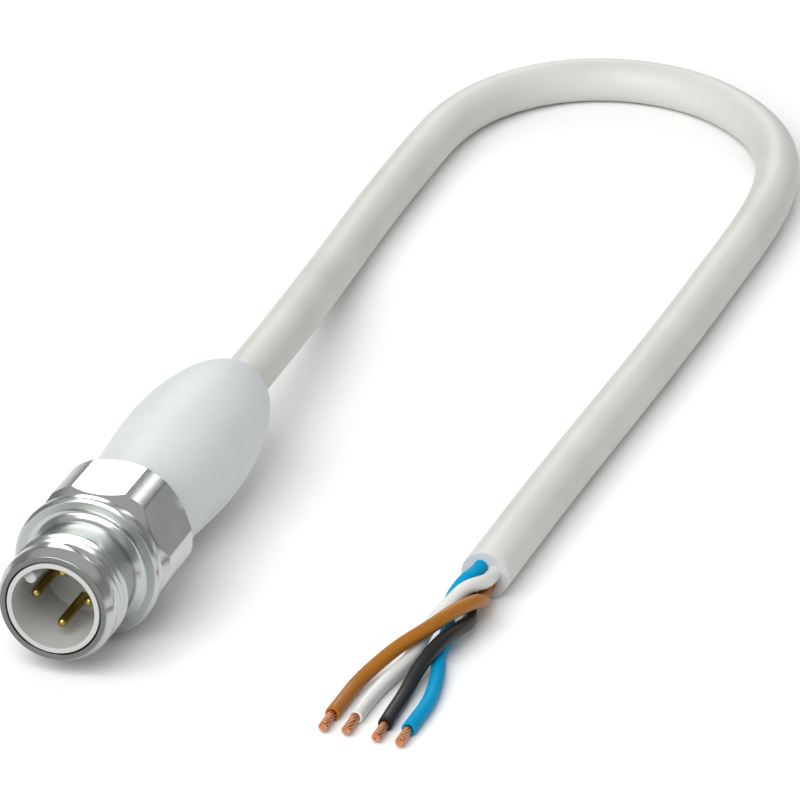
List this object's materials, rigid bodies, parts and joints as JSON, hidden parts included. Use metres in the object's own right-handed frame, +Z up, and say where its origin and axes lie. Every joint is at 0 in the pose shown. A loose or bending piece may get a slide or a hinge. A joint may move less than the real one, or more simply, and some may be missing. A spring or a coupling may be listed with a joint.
{
  "type": "circular connector cable",
  "caption": "Moulded M12 cable plug with a turning threaded hex nut, contact pins in a keyed socket, and a length of free cable ending in stripped coloured cores.",
  "frame": {"origin": "on the surface that the plug lies on, under the middle of the plug without its cable", "axes": "+Z up; the plug's axis runs along Y, with the mating face and the contacts towards -Y and the cable leaving towards +Y"},
  "size_m": [0.0466, 0.1685, 0.015],
  "materials": {
    "nut_steel": "fine turned stainless steel",
    "ring_steel": "satin spring steel",
    "carrier_plastic": "light grey moulded plastic, satin",
    "contact_gold": "polished gold plating",
    "grip_plastic": "pale bluish-grey soft moulded plastic, matt",
    "sheath": "light grey smooth cable sheath, satin",
    "core_brown": "smooth brown insulation",
    "core_white": "smooth white insulation",
    "core_blue": "smooth blue insulation",
    "core_black": "smooth black insulation",
    "copper": "bare stranded copper, bright"
  },
  "bodies": {
    "nut": {"coupling_nut": "nut_steel"},
    "plug": {"retaining_ring": "ring_steel", "contact_carrier": "carrier_plastic", "contact_pin_1": "contact_gold", "contact_pin_2": "contact_gold", "contact_pin_3": "contact_gold", "contact_pin_4": "contact_gold", "inner_core_brown": "core_brown", "inner_core_white": "core_white", "inner_core_blue": "core_blue", "inner_core_black": "core_black", "inner_copper_brown": "copper", "inner_copper_white": "copper", "inner_copper_blue": "copper", "inner_copper_black": "copper", "grip": "grip_plastic", "cable_sheath": "sheath", "core_brown": "core_brown", "core_white": "core_white", "core_blue": "core_blue", "core_black": "core_black", "copper_brown": "copper", "copper_white": "copper", "copper_blue": "copper", "copper_black": "copper"}
  },
  "joints": [
    {"name": "nut_spin", "type": "hinge", "parent": "plug", "child": "nut", "pos_m": [0, -0.0172, 0.0075], "axis": [0, -1, 0], "continuous": true}
  ]
}
